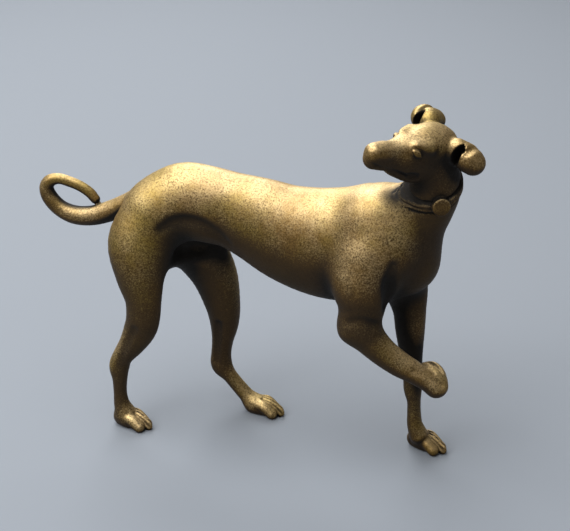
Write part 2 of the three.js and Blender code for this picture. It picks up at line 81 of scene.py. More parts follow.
# Each station: along X, across Y, up Z, then half the depth and half the width of the section
TRUNK = dict(
    torso=dict(blend=2.4, stations=[
        (-30.4, 0, 50.8, 4, 4.8), (-26.8, 0, 52.2, 7.2, 6.1), (-22.6, 0, 53.4, 8.6, 6.8),
        (-18, 0, 53.2, 8.7, 6.7), (-12, 0, 52.5, 8.5, 6.4), (-5.5, 0, 50.7, 9.6, 7.2),
        (1, 0, 48.4, 10.9, 8), (8, 0, 47.3, 12.1, 8.6), (14.3, 0, 47.5, 12.6, 8.8),
        (19.5, 0, 47.8, 12, 8.4), (24, 0, 46.6, 9.2, 7.2)]),
    breastbone=dict(blend=4, stations=[
        (24, 0, 48.5, 6.3, 6.2), (27.4, 0, 45.2, 3.9, 4.4)]),
    neck=dict(blend=4, stations=[
        (22, 0, 52.3, 9.6, 7.6), (26, -0.4, 54.7, 8, 6.8), (30, -1, 58.9, 6.1, 5.6),
        (32, -1.8, 63.4, 5.4, 5), (32.6, -2.4, 67.4, 4.2, 4.5)]),
)

LIMBS = dict(
    groin=dict(blend=4, stations=[(-28.2, 0, 44.5, 5, 4.6), (-27.9, 0, 41, 3.4, 4)]),
    right_thigh=dict(blend=4.8, stations=[
        (-29.8, -3.6, 50.8, 6, 4.4), (-31.8, -5.6, 44.8, 6.8, 4.8), (-31.3, -6.8, 38.2, 5.5, 4.4),
        (-30.4, -7.6, 32.7, 4.1, 3.6), (-30.5, -8, 28, 3.8, 3), (-31.4, -8, 25, 3.6, 2.6),
        (-33.4, -7.8, 21.3, 2.9, 2.4), (-35.8, -7.6, 17.8, 2.3, 2), (-36.9, -7.4, 14.9, 2.3, 2),
        (-36.9, -7.4, 11.8, 1.7, 1.7), (-37, -7.3, 8.4, 1.5, 1.5), (-36.8, -7.2, 5.4, 1.8, 1.7),
        (-36, -7.2, 3.1, 2.3, 2.2)]),
    left_thigh=dict(blend=4.8, stations=[
        (-26, 3.6, 47, 6, 4.4), (-22.6, 5.4, 41, 6.4, 4.8), (-19, 6.8, 34, 5.4, 4.2),
        (-17.2, 7.4, 26.5, 4.1, 3.6), (-16.9, 7.7, 21.5, 3.3, 3), (-17.3, 7.6, 17.4, 2.5, 2.6),
        (-17.7, 7.5, 13.8, 2.3, 2.2), (-17.6, 7.4, 10.7, 2.5, 2), (-15.8, 7.4, 8.3, 1.7, 1.8),
        (-13.6, 7.4, 5.7, 1.7, 1.6), (-11.4, 7.3, 3.4, 1.8, 1.7), (-9.6, 7.2, 2, 2, 2)]),
    right_shoulder=dict(blend=4.8, stations=[
        (20.1, -5.2, 55.5, 5.2, 3.2), (21.6, -6.4, 49.9, 5.9, 4), (19.3, -7.6, 43.7, 5.2, 4)]),
    right_upper_arm=dict(blend=3.2, stations=[
        (19.5, -7.2, 47.2, 5.4, 4), (18.5, -8.4, 41.7, 5.4, 4.2), (18.8, -8.6, 38.2, 5, 3.8),
        (18.3, -8.6, 34.4, 4.3, 3.4), (17.2, -8.6, 32.4, 2.9, 3)]),
    right_forearm=dict(blend=2.4, stations=[
        (17.6, -8.6, 32.6, 3.4, 3), (20.2, -8.5, 30.6, 3.6, 3.1), (23.4, -8, 27.4, 3.1, 2.9),
        (26.9, -7.4, 24.7, 2.8, 2.6), (30.3, -6.9, 22.8, 2.5, 2.3), (33.1, -6.4, 21.1, 2.4, 2.3),
        (34.8, -6.1, 19.8, 2.3, 2.4)]),
    right_forepaw=dict(blend=1.2, stations=[
        (34.8, -5.8, 19.8, 2.3, 2.3), (34.6, -4.6, 21.2, 2, 2.4), (33.3, -3.5, 22, 1.8, 2.6),
        (31.9, -2.8, 22.2, 1.3, 2.1)]),
    left_foreleg=dict(blend=3.2, stations=[
        (23.8, 4.6, 42.7, 5.6, 4), (25.4, 4.2, 37.7, 4.9, 3.8), (26.6, 3.4, 32.8, 3.7, 3.3),
        (27.1, 2.6, 27.9, 3.2, 2.9), (27.6, 1.9, 23.4, 2.6, 2.5), (28.2, 1.3, 18.9, 2.1, 2.2),
        (28.5, 0.8, 14.8, 2, 2.1), (28.9, 0.5, 12, 1.5, 1.8), (29.1, 0.2, 9.2, 1.5, 1.8),
        (29.4, 0, 6.4, 1.7, 1.9), (30.2, 0.2, 4, 2, 2.4)]),
    tail=dict(blend=0.8, stations=[
        (-28.6, 0, 55.6, 3.2, 3.4), (-32.2, 0, 53.6, 2.7, 2.8), (-36, 0, 51.5, 2.3, 2.4),
        (-40.6, 0, 49.1, 2.3, 2.3), (-45, 0, 47.6, 2.2, 2.2), (-49, 0, 47.4, 2.1, 2),
        (-52.3, 0, 48.6, 1.9, 1.8), (-54.6, 0, 50.9, 1.8, 1.7), (-55.3, 0, 53.2, 1.6, 1.5),
        (-54.3, 0, 54.9, 1.4, 1.4), (-52.3, 0.2, 55.5, 1.2, 1.2), (-50, 0.4, 55, 1.2, 1.1),
        (-47.6, 0.5, 54.2, 1.2, 1), (-45.4, 0.6, 52.9, 1.2, 1), (-44.1, 0.7, 51.4, 1.1, 1)]),
)

# Creases cut into the body: the flank fold, the hollow between the thighs, the front of the
# shoulder, the elbow, the lines over the hocks, and the toes, pads and wrist of the raised paw.
CREASES = dict(
    flank=dict(blend=1.8, cut=True, stations=[
        (-25.4, -8.2, 49.6, 0.5, 0.5), (-23, -7.8, 51, 1, 1), (-20, -7.3, 51.5, 1.1, 1.1),
        (-17, -7.1, 51, 1, 1), (-14.3, -6.5, 49.4, 0.7, 0.7), (-12, -5.9, 47.2, 0.4, 0.4)]),
    between_thighs=dict(blend=2, cut=True, stations=[
        (-22.6, -1.6, 42, 2.2, 2.6), (-19, -1, 42.6, 2.6, 3.4), (-15.6, -0.4, 42.6, 1.6, 2.6)]),
    shoulder_front=dict(blend=1.8, cut=True, stations=[
        (25.7, -10.6, 48.4, 0.3, 0.3), (25.3, -10.8, 46.4, 0.6, 0.6), (24.8, -10.4, 44, 0.9, 0.9),
        (24.5, -9.3, 41, 0.9, 0.9), (24, -8.6, 38.6, 0.7, 0.7)]),
    elbow=dict(blend=1.4, cut=True, stations=[
        (16.8, -12.6, 35.2, 0.3, 0.3), (19.7, -12.8, 36, 0.5, 0.5), (22.4, -11.4, 34.8, 0.6, 0.6)]),
    right_hock=dict(blend=1.4, cut=True, stations=[
        (-31.6, -11, 26.4, 0.2, 0.2), (-34.8, -10.3, 20.2, 0.3, 0.3), (-36.2, -10, 15.6, 0.2, 0.2)]),
    left_hock=dict(blend=1.4, cut=True, stations=[
        (-17.3, 4.5, 22.6, 0.2, 0.2), (-17.9, 4.8, 17.4, 0.3, 0.3), (-18.2, 5, 12.4, 0.2, 0.2)]),
    raised_toe_1=dict(blend=0.4, cut=True, stations=[
        (34.6, -6.6, 23.5, 0.4, 0.4), (32.6, -5.4, 24.2, 0.6, 0.6), (30.8, -3.8, 24, 0.5, 0.5)]),
    raised_toe_2=dict(blend=0.4, cut=True, stations=[
        (35.8, -5, 22.8, 0.4, 0.4), (33.8, -3.6, 23.6, 0.6, 0.6), (31.8, -2, 23.4, 0.5, 0.5)]),
    folded_pads=dict(blend=0.6, cut=True, stations=[
        (31.3, -6.2, 25.3, 0.4, 0.4), (32.7, -5.9, 24.7, 0.9, 0.8), (34.3, -6.2, 23.8, 0.5, 0.5)]),
    wrist=dict(blend=1.4, cut=True, stations=[
        (30.6, -9, 24.2, 0.2, 0.2), (32.6, -8.8, 23.8, 0.5, 0.5), (34.6, -8.2, 22.8, 0.5, 0.5),
        (36.3, -7.6, 21, 0.3, 0.3)]),
)

# Head stations run forward, to the dog's left and up from the middle of the skull.
HEAD_CENTRE = (31.4, -3.2, 72.9)
HEAD_TURN, HEAD_LIFT, HEAD_ROLL = -124, 9.5, -18
HEAD = dict(
    skull=dict(blend=2.4, stations=[
        (-1.8, 0.2, 0.2, 3.6, 4.1), (0, 0.1, 0.4, 4, 4.7), (2.9, 0, 0.1, 3.9, 4.2),
        (6.4, 0, -0.9, 3.2, 3.2)]),
    muzzle=dict(blend=2, power=3, stations=[
        (3.5, 0, -1.7, 3.3, 3.2), (7.4, 0, -1.9, 3.3, 2.9), (10.5, 0, -1.9, 3, 2.4),
        (13.4, 0, -1.8, 2.6, 2.1), (15, 0, -1.7, 2.3, 1.9)]),
    nose=dict(blend=1.2, stations=[(13.6, 0, -0.6, 1.5, 1.8), (16.1, 0, -0.7, 1.5, 1.7)]),
    chin=dict(blend=1.2, stations=[(12, 0, -2.8, 1.8, 1.8), (15.6, 0, -2.8, 1.5, 1.5)]),
    brow=dict(blend=1.4, paired=True, stations=[
        (4.4, 3.3, 1.6, 1, 1.1), (7.4, 2.5, 1.5, 0.7, 0.8)]),
    cheek=dict(blend=2.4, paired=True, stations=[
        (0.8, 2.1, -4.2, 3.4, 2.4), (5.6, 1.8, -4.3, 2.9, 2.2), (8.4, 1.1, -4, 2.1, 1.6)]),
    eye_socket=dict(blend=0.6, paired=True, cut=True, stations=[
        (8.8, 3, 1.6, 0.4, 0.4), (7.6, 4, 1.2, 0.8, 0.8), (6.3, 4.6, 0.4, 0.4, 0.4)]),
    eyeball=dict(blend=0.15, paired=True, stations=[
        (8.2, 2.9, 0.7, 0.4, 0.5), (7.5, 3.25, 0.3, 0.75, 0.7), (6.8, 3.6, -0.1, 0.4, 0.5)]),
    mouth_corner=dict(blend=0.5, paired=True, cut=True, stations=[
        (7.4, 4.2, -4.7, 0.9, 0.9), (6.2, 4.4, -4.8, 0.9, 0.9)]),
    mouth=dict(blend=0.3, paired=True, cut=True, stations=[
        (17.6, 1.6, -2.2, 0.2, 0.2), (14, 2.3, -3.2, 0.2, 0.2), (10.6, 2.6, -4, 0.25, 0.2),
        (7.6, 3.6, -4.6, 0.3, 0.3)]),
    nostril=dict(blend=0.2, paired=True, cut=True, stations=[
        (18.6, 0.8, -0.2, 0.3, 0.3), (18, 1.7, -0.3, 0.3, 0.3)]),
    left_ear=dict(blend=0.8, across=(1, 0, 0), stations=[
        (-2, 4.8, 1.4, 2.6, 2.2), (-3.2, 6.9, 1, 2.8, 3), (-4, 8.2, 0.5, 2.5, 2.6)]),
    left_ear_opening=dict(blend=0.25, cut=True, stations=[
        (1.8, 6.7, 0.6, 2.5, 0.9), (-0.8, 6.3, 1, 2.7, 1), (-2.1, 5.9, 1, 1.5, 0.7)]),
    right_ear=dict(blend=0.8, across=(1, 0, 0), stations=[
        (-2.4, -5, 1.6, 2.6, 2.2), (-3.7, -7.2, 1.4, 2.8, 3), (-4.5, -8.3, 1, 2.5, 2.6)]),
    right_ear_back=dict(blend=1, stations=[
        (-2.8, -5.4, 2.2, 2.3, 2.3), (-5.2, -5.8, 1.9, 1.9, 2.1)]),
    right_ear_opening=dict(blend=0.25, cut=True, stations=[
        (1.6, -6.8, 1.8, 2.1, 1.2), (-1.2, -6.5, 1.4, 2.5, 1.2), (-3.2, -6.5, 1.2, 1.5, 0.9)]),
    ear_fold=dict(blend=1, paired=True, cut=True, stations=[
        (-6.6, 7.3, 3.2, 0.4, 0.4), (-4, 7.5, 4.1, 0.4, 0.4), (-1.2, 7.8, 3, 0.4, 0.4)]),
)

# A paw runs forward from its heel: along, across, up, half the height, half the width.
PAWS = [
    dict(heel=(-37, -6.7), heading=-12),
    dict(heel=(-10, 7.2), heading=-10),
    dict(heel=(29.3, 2.2), heading=-20),
]
PAW_PAD = [(0, 0, 1.6, 2, 1.8), (2.4, 0, 1.5, 2, 2.3), (5.2, 0, 1.1, 1.2, 2.1)]
PAW_BLEND = 1.6
TOE_BLEND = 0.3
TOE_SHORTENING = 0.075       # share of its reach that a toe loses one share off the middle
CLEFT_BLEND = 0.3
CLEFTS = (-0.5, 0.68, 1.6)   # across, the grooves between the toes
TOES = ((-1.55, 1.3), (0.1, 0.8), (1.15, 0.75), (2.05, 0.75))   # across, half the width

# The collar lies in one slanting plane round the neck, and its tag hangs at the throat.
COLLAR_CENTRE = np.array((31, -1.6, 64.1)) * SHARE
COLLAR_NORMAL = np.array((0, -0.6, 0.8))
COLLAR_REACH = 8.4 * SHARE
TAG_CENTRE = np.array((34.3, -6.9, 61.1)) * SHARE
TAG_NORMAL = np.array((0.45, -0.9, -0.05)) / np.linalg.norm((0.45, -0.9, -0.05))


# The field: distance from the casting in millimetres, made of blended strokes.

def smooth_stations(rows):
    """A smooth run of stations through the given ones."""
    rows = np.asarray(rows, float)
    ends = np.vstack([2 * rows[0] - rows[1], rows, 2 * rows[-1] - rows[-2]])
    run = []
    for a, b, c, d in zip(ends, ends[1:], ends[2:], ends[3:]):
        for t in np.arange(STEPS_PER_STATION) / STEPS_PER_STATION:
            run.append(0.5 * (2 * b + (c - a) * t + (2 * a - 5 * b + 4 * c - d) * t ** 2
                              + (3 * b - a - 3 * c + d) * t ** 3))
    return np.array(run + [rows[-1]])


class Stroke:
    """An oval section carried along its stations, added to the body or cut from it."""

    def __init__(self, stations, blend, across=(0, 1, 0), cut=False, power=2):
        run = smooth_stations(stations) * SHARE
        self.blend, self.cut, self.power = blend * SHARE, cut, power
        self.point, self.depth, self.width = run[:, :3], run[:, 3], run[:, 4]
        along = np.gradient(self.point, axis=0)
        along /= np.linalg.norm(along, axis=1, keepdims=True)
        side = np.asarray(across, float) - (along @ np.asarray(across, float))[:, None] * along
        self.side = side / np.linalg.norm(side, axis=1, keepdims=True)
        margin = run[:, 3:].max() + self.blend + SHARE
        self.low = self.point.min(axis=0) - margin
        self.high = self.point.max(axis=0) + margin

    def distance(self, points):
        best = np.full(len(points), FAR)
        for i in range(len(self.point) - 1):
            a = self.point[i]
            step = self.point[i + 1] - a
            offset = points - a
            t = np.clip(offset @ step / (step @ step), 0, 1)
            offset -= t[:, None] * step
            depth = self.depth[i] + (self.depth[i + 1] - self.depth[i]) * t
            width = self.width[i] + (self.width[i + 1] - self.width[i]) * t
            side = self.side[i] + (self.side[i + 1] - self.side[i]) * t[:, None]
            sideways = np.einsum("ij,ij->i", offset, side)
            rest = np.maximum(np.einsum("ij,ij->i", offset, offset) - sideways ** 2, 0)
            if self.power == 2:
                scaled = np.sqrt(rest / depth ** 2 + (sideways / width) ** 2)
                slope = np.sqrt(rest / depth ** 4 + (sideways / width ** 2) ** 2) + 1e-9
                outward = scaled * (scaled - 1) / slope
            else:
                scaled = ((np.sqrt(rest) / depth) ** self.power
                          + (np.abs(sideways) / width) ** self.power) ** (1 / self.power) + 1e-9
                outward = np.sqrt(rest + sideways ** 2) * (1 - 1 / scaled)
            distance = np.where(scaled < 1e-4, -np.minimum(depth, width), outward)
            np.minimum(best, distance, out=best)
        return best


def blended_minimum(a, b, blend):
    """The smaller of two distances, rounded where they meet."""
    nearness = np.maximum(blend - np.abs(a - b), 0) / blend
    return np.minimum(a, b) - nearness ** 2 * blend / 4


def add_strokes(strokes, distance, points, spread=0.0):
    for stroke in strokes:
        inside = np.all((points > stroke.low - spread) & (points < stroke.high + spread), axis=1)
        near = np.nonzero(inside)[0]
        if len(near):
            own = stroke.distance(points[near])
            if stroke.cut:
                distance[near] = -blended_minimum(-distance[near], own, stroke.blend)
            else:
                distance[near] = blended_minimum(distance[near], own, stroke.blend)
    return distance


def smooth_step(value, low, high):
    t = np.clip((value - low) / (high - low), 0, 1)
    return t * t * (3 - 2 * t)


def add_collar(distance, points):
    """A strap between two grooves, its width measured along the neck, and a round tag on it."""
    near = np.nonzero(np.linalg.norm(points - COLLAR_CENTRE, axis=1) < COLLAR_REACH)[0]
    if not len(near):
        return distance
    place, own = points[near], distance[near]
    slope = np.stack([add_strokes(trunk, np.full(len(near), FAR), place + 0.05 * axis) - own
                      for axis in np.eye(3)], 1)
    slope /= np.maximum(np.linalg.norm(slope, axis=1, keepdims=True), 1e-9)
    tilt = np.sqrt(np.maximum(1 - (slope @ COLLAR_NORMAL) ** 2, 0.12))
    along = np.abs((place - COLLAR_CENTRE) @ COLLAR_NORMAL) / tilt
    edge = COLLAR_WIDTH / 2
    from_centre = np.linalg.norm(place - COLLAR_CENTRE, axis=1)
    fade = 1 - smooth_step(from_centre, COLLAR_FADE * COLLAR_REACH, COLLAR_REACH)
    # The steps across the band, millimetres from its middle or its edge
    raised = COLLAR_RELIEF * (1 - smooth_step(along, edge - 0.3, edge + 0.2))
    groove = (smooth_step(along, edge - 0.2, edge + 0.3)
              * (1 - smooth_step(along, edge + 0.3, edge + 1.1)))
    line = 1 - smooth_step(along, 0.05, 0.45)
    own = own + fade * (COLLAR_GROOVE * groove + COLLAR_LINE * line - raised)
    offset = place - TAG_CENTRE
    height = offset @ TAG_NORMAL
    radius = np.sqrt(np.maximum(np.einsum("ij,ij->i", offset, offset) - height ** 2, 0))
    disc = TAG_ROUNDING + np.stack([radius - TAG_DIAMETER / 2,
                                    np.abs(height) - TAG_THICKNESS / 2], 1)
    tag = np.linalg.norm(np.maximum(disc, 0), axis=1) + np.minimum(disc.max(axis=1), 0) - TAG_ROUNDING
    distance[near] = np.minimum(own, tag)
    return distance


def turned(axis, degrees):
    """The matrix of a turn about one axis."""
    c, s = math.cos(math.radians(degrees)), math.sin(math.radians(degrees))
    a, b = (axis + 1) % 3, (axis + 2) % 3
    matrix = np.eye(3)
    matrix[a, a], matrix[a, b], matrix[b, a], matrix[b, b] = c, -s, s, c
    return matrix


def placed(stations, turn, origin, across=(0, 1, 0), **rest):
    """A stroke whose stations are given in a turned frame at an origin."""
    rows = np.asarray(stations, float)
    moved = np.hstack([rows[:, :3] @ turn.T + origin, rows[:, 3:]])
    return Stroke(moved, across=turn @ np.asarray(across, float), **rest)


def head_strokes():
    turn = turned(2, HEAD_TURN) @ turned(1, -HEAD_LIFT) @ turned(0, HEAD_ROLL)
    strokes = []
    for piece in HEAD.values():
        details = {key: value for key, value in piece.items() if key != "paired"}
        for sign in (1, -1) if piece.get("paired") else (1,):
            rows = [(a, sign * b, *others) for a, b, *others in piece["stations"]]
            strokes.append(placed(**{**details, "stations": rows}, turn=turn, origin=HEAD_CENTRE))
    return strokes


def paw_strokes(heel, heading):
    """A pad under four toes, the outer ones shorter, with grooves cut between them."""
    frame_of_paw = dict(turn=turned(2, heading), origin=(*heel, 0))
    strokes = [placed(PAW_PAD, blend=PAW_BLEND, **frame_of_paw)]
    for across, width in TOES:
        reach = 1 - TOE_SHORTENING * across ** 2
        toe = [(1.5, 0.7 * across, 2.6, 1, width), (4.2 * reach, 0.95 * across, 2.3, 1.2, width),
               (6.7 * reach, across, 1, 1.2, width)]
        strokes.append(placed(toe, blend=TOE_BLEND, **frame_of_paw))
    for across in CLEFTS:
        cleft = [(2.4, 0.9 * across, 3.6, 0.2, 0.2), (5, across, 3.2, 0.5, 0.22),
                 (8, across, 1, 0.6, 0.22)]
        strokes.append(placed(cleft, blend=CLEFT_BLEND, cut=True, **frame_of_paw))
    return strokes


trunk = [Stroke(**piece) for piece in TRUNK.values()]
rest = [Stroke(**piece) for piece in (*LIMBS.values(), *CREASES.values())] + head_strokes()
for paw in PAWS:
    rest += paw_strokes(**paw)


def body_distance(points, spread=0.0):
    """Distance from the casting's surface in millimetres, negative inside."""
    distance = add_strokes(trunk, np.full(len(points), FAR), points, spread)
    return add_strokes(rest, add_collar(distance, points), points, spread)


# The mesh: surface nets on a grid, settled on the field and refined at the creases.

def sample_grid(step):
    """Distances on a grid, exact only near the surface."""
    solid = [stroke for stroke in trunk + rest if not stroke.cut]
    low = np.min([stroke.low for stroke in solid], axis=0)
    high = np.max([stroke.high for stroke in solid], axis=0)
    blocks = np.ceil(((high - low) / step + 1) / BLOCK).astype(int)
    axes = [low[m] + step * np.arange(blocks[m] * BLOCK) for m in range(3)]
    middles = [axis.reshape(-1, BLOCK).mean(axis=1) for axis in axes]
    centres = np.stack(np.meshgrid(*middles, indexing="ij"), -1).reshape(-1, 3)
    coarse = body_distance(centres).reshape(blocks)

    def spread_out(values):
        for axis in range(3):
            values = np.repeat(values, BLOCK, axis=axis)
        return values

    grid = spread_out(coarse)
    near = spread_out(np.abs(coarse) < step * BLOCK * 1.25 + 0.5 * SHARE)
    index = np.argwhere(near)
    grid[near] = body_distance(np.stack([axes[m][index[:, m]] for m in range(3)], 1))
    return grid, low


CORNERS = [(i, j, k) for k in (0, 1) for j in (0, 1) for i in (0, 1)]


def corner_views(values):
    sizes = values.shape
    return [values[tuple(slice(c, sizes[m] - 1 + c) for m, c in enumerate(corner))]
            for corner in CORNERS]


def is_joined(pattern):
    """Whether the marked corners of a cell, one bit each, hang together along its edges."""
    reached = pattern & -pattern
    for _ in range(8):
        for corner in range(8):
            if reached >> corner & 1:
                reached |= pattern & (1 << (corner ^ 1) | 1 << (corner ^ 2) | 1 << (corner ^ 4))
    return reached == pattern


def fill_double_crossings(grid):
    """Fills the cells that two bits of the surface would cross, so that it never meets itself."""
    single = np.array([is_joined(p) and is_joined(255 - p) for p in range(256)])
    while True:
        pattern = sum((view < 0).astype(int) << c for c, view in enumerate(corner_views(grid)))
        cells = np.argwhere(~single[pattern])
        if not len(cells):
            return
        for cell in cells:
            places = [tuple(cell + corner) for corner in CORNERS]
            outside = [place for place in places if grid[place] >= 0]
            if outside:
                grid[min(outside, key=lambda place: grid[place])] = -FILLED_DEPTH


def surface_net(grid, origin, step):
    """One vertex in each crossed cell, joined in quads across the crossed grid edges."""
    inside = grid < 0
    count = sum(view.astype(int) for view in corner_views(inside))
    crossed = (count > 0) & (count < 8)
    cells = np.argwhere(crossed)
    vertex_of = np.full(crossed.shape, -1)
    vertex_of[crossed] = np.arange(len(cells))
    total, crossings = np.zeros((len(cells), 3)), np.zeros(len(cells))
    for corner in CORNERS:
        for axis in range(3):
            if corner[axis] == 0:
                far_corner = tuple(1 if m == axis else c for m, c in enumerate(corner))
                a = grid[tuple((cells + corner).T)]
                b = grid[tuple((cells + far_corner).T)]
                crosses = (a < 0) != (b < 0)
                place = np.tile(np.array(corner, float), (len(cells), 1))
                place[:, axis] = a / np.where(crosses, a - b, 1)
                total[crosses] += place[crosses]
                crossings[crosses] += 1
    points = origin + step * (cells + total / crossings[:, None])
    quads = []
    for axis in range(3):
        u, v = (axis + 1) % 3, (axis + 2) % 3
        start = [slice(1, -1)] * 3
        start[axis] = slice(0, -1)
        end = list(start)
        end[axis] = slice(1, None)
        a, b = inside[tuple(start)], inside[tuple(end)]
        for leaving, crosses in ((True, a & ~b), (False, ~a & b)):
            edge = np.argwhere(crosses)
            edge[:, u] += 1
            edge[:, v] += 1
            ring = []
            for du, dv in ((1, 1), (0, 1), (0, 0), (1, 0)):
                cell = edge.copy()
                cell[:, u] -= du
                cell[:, v] -= dv
                ring.append(vertex_of[tuple(cell.T)])
            quads.append(np.stack(ring if leaving else ring[::-1], 1))
    return points, np.vstack(quads)


def triangulated(points, quads):
    """Splits each quad along its shorter diagonal."""
    a, b, c, d = quads.T
    shorter = (np.linalg.norm(points[a] - points[c], axis=1)
               < np.linalg.norm(points[b] - points[d], axis=1))[:, None]
    first = np.where(shorter, np.stack([a, b, c], 1), np.stack([a, b, d], 1))
    second = np.where(shorter, np.stack([a, c, d], 1), np.stack([b, c, d], 1))
    return np.vstack([first, second])


def slope_at(points, probe=0.03):
    """The distance at each point, and how it changes along X, Y and Z."""
    here = body_distance(points)
    slope = np.stack([body_distance(points + probe * axis) - here for axis in np.eye(3)], 1)
    return here, slope / probe


def settle(points, rounds=2):
    """Moves each vertex onto the true surface."""
    for _ in range(rounds):
        here, slope = slope_at(points)
        steepness = np.maximum(np.einsum("ij,ij->i", slope, slope), 0.1)
        points -= np.clip(here / steepness, -LONGEST_MOVE, LONGEST_MOVE)[:, None] * slope
    points[:, 2] = np.maximum(points[:, 2], 0)
    return points


def vertex_normals(points, triangles):
    a, b, c = (points[triangles[:, m]] for m in range(3))
    face = np.cross(b - a, c - a)
    normals = np.zeros_like(points)
    for m in range(3):
        np.add.at(normals, triangles[:, m], face)
    return normals / np.maximum(np.linalg.norm(normals, axis=1, keepdims=True), 1e-12)


def edges_of(triangles):
    """The edges of each triangle, numbered so that two triangles share a number."""
    pairs = np.sort(triangles[:, [[0, 1], [1, 2], [2, 0]]].reshape(-1, 2), axis=1)
    edges, number = np.unique(pairs, axis=0, return_inverse=True)
    return edges, number.reshape(-1, 3)


def relax(points, triangles, amount=0.4):
    """Evens out the triangles by drawing each vertex towards its neighbours."""
    edges, _ = edges_of(triangles)
    total, count = np.zeros_like(points), np.zeros(len(points))
    for a, b in (edges.T, edges.T[::-1]):
        np.add.at(total, a, points[b])
        np.add.at(count, a, 1)
    move = total / count[:, None] - points
    move[points[:, 2] < SOLE_LEVEL] = 0
    return points + amount * move


def refine(points, triangles, shortest):
    """Splits the edges that bend more than the crease angle, down to a shortest length."""
    normals = vertex_normals(points, triangles)
    edges, of_triangle = edges_of(triangles)
    a, b = edges.T
    bend = np.einsum("ij,ij->i", normals[a], normals[b])
    length = np.linalg.norm(points[a] - points[b], axis=1)
    height = (points[a, 2] + points[b, 2]) / 2
    carved = (height > HEAD_LEVEL) | (height < PAW_LEVEL)
    split = ((bend < math.cos(math.radians(CREASE_ANGLE))) & (length > shortest)
             | carved & (length > SPLIT_RATIO * FINE_EDGE))
    middle = np.full(len(edges), -1)
    middle[split] = len(points) + np.arange(split.sum())
    points = np.vstack([points, (points[a] + points[b])[split] / 2])
    pieces = []
    marks = split[of_triangle]
    for pattern in range(8):
        chosen = np.all(marks == [bool(pattern >> m & 1) for m in range(3)], axis=1)
        corner, mid = triangles[chosen], middle[of_triangle[chosen]]
        marked = [m for m in range(3) if pattern >> m & 1]
        if not marked:
            pieces.append(corner)
            continue
        # Turned so that a lone split edge comes first, and a lone whole edge comes last
        first = marked[0] if len(marked) != 2 else (3 - sum(marked) + 1) % 3
        turn = [(first + m) % 3 for m in range(3)]
        (p, q, r), (pq, qr, rp) = corner[:, turn].T, mid[:, turn].T
        if len(marked) == 1:
            parts = [(p, pq, r), (pq, q, r)]
        elif len(marked) == 2:
            parts = [(pq, q, qr), (p, pq, qr), (p, qr, r)]
        else:
            parts = [(p, pq, rp), (pq, q, qr), (rp, qr, r), (pq, qr, rp)]
        pieces += [np.stack(part, 1) for part in parts]
    return points, np.vstack(pieces)


def largest_body(points, triangles):
    """The casting alone, without crumbs that a cut set loose."""
    label = np.arange(len(points))
    while True:
        lowest = label.copy()
        np.minimum.at(lowest, triangles.ravel(), np.repeat(label[triangles].min(axis=1), 3))
        lowest = lowest[lowest]
        if np.array_equal(lowest, label):
            break
        label = lowest
    body = label[triangles[:, 0]]
    used, kept = np.unique(triangles[body == np.bincount(body).argmax()], return_inverse=True)
    return points[used], kept.reshape(-1, 3)


def casting_mesh():
    grid, origin = sample_grid(GRID_STEP)
    fill_double_crossings(grid)
    points, quads = surface_net(grid, origin, GRID_STEP)
    points, triangles = largest_body(points, triangulated(points, quads))
    points = settle(relax(settle(points), triangles))
    for shortest in (SPLIT_RATIO * FINE_EDGE, SPLIT_RATIO * FINEST_EDGE):
        points, triangles = refine(points, triangles, shortest)
        points = settle(points, 1)
    return settle(relax(points, triangles, 0.25), 1), triangles


def shelter_of(points, normals):
    """How much of the sky each point's own surroundings close off, 0 in the open to 1: the mask of
    the painted shade and dark patina in hollows.
    """
    closed = np.zeros(len(points))
    for reach, weight in SHELTER_REACHES:
        free = body_distance(points + reach * normals, spread=reach)
        closed += weight * np.clip(1 - free / reach, 0, 1)
    return closed


def overhead_shadow_of(points, normals):
    """How closely something hangs over each point, 0 under the open sky to 1: the mask of a painted
    shadow cast from above.
    """
    covered = np.zeros(len(points))
    for rise in COVER_RISES:
        free = body_distance(points + COVER_CLEARANCE * normals + (0, 0, rise), spread=rise)
        covered = np.maximum(covered, np.clip(1 - COVER_SHARPNESS * free / rise, 0, 1))
    return covered


def build_casting():
    points, triangles = casting_mesh()
    normals = vertex_normals(points, triangles)
    middle = (points.min(axis=0) + points.max(axis=0)) / 2
    low, high = (np.array(corner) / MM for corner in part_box("dog_figure"))
    shift = (low + high) / 2 - middle
    shift[2] = 0
    mesh = bpy.data.meshes.new("dog_casting")
    mesh.from_pydata(((points + shift) * MM).tolist(), [], triangles.tolist())
    # Masks for the painted shade in hollows and the painted shadow from above.
    shades = {"shelter": shelter_of(points, normals), "overhead_shadow": overhead_shadow_of(points, normals)}
    for name, values in shades.items():
        mesh.attributes.new(name, "FLOAT", "POINT").data.foreach_set("value", values)
    mesh.polygons.foreach_set("use_smooth", [True] * len(mesh.polygons))
    mesh.update()
    casting = bpy.data.objects.new("dog_casting", mesh)
    bpy.context.scene.collection.objects.link(casting)
    print("casting", len(points), "vertices", len(triangles), "triangles", "shift", shift.round(3))
    return casting


# Materials

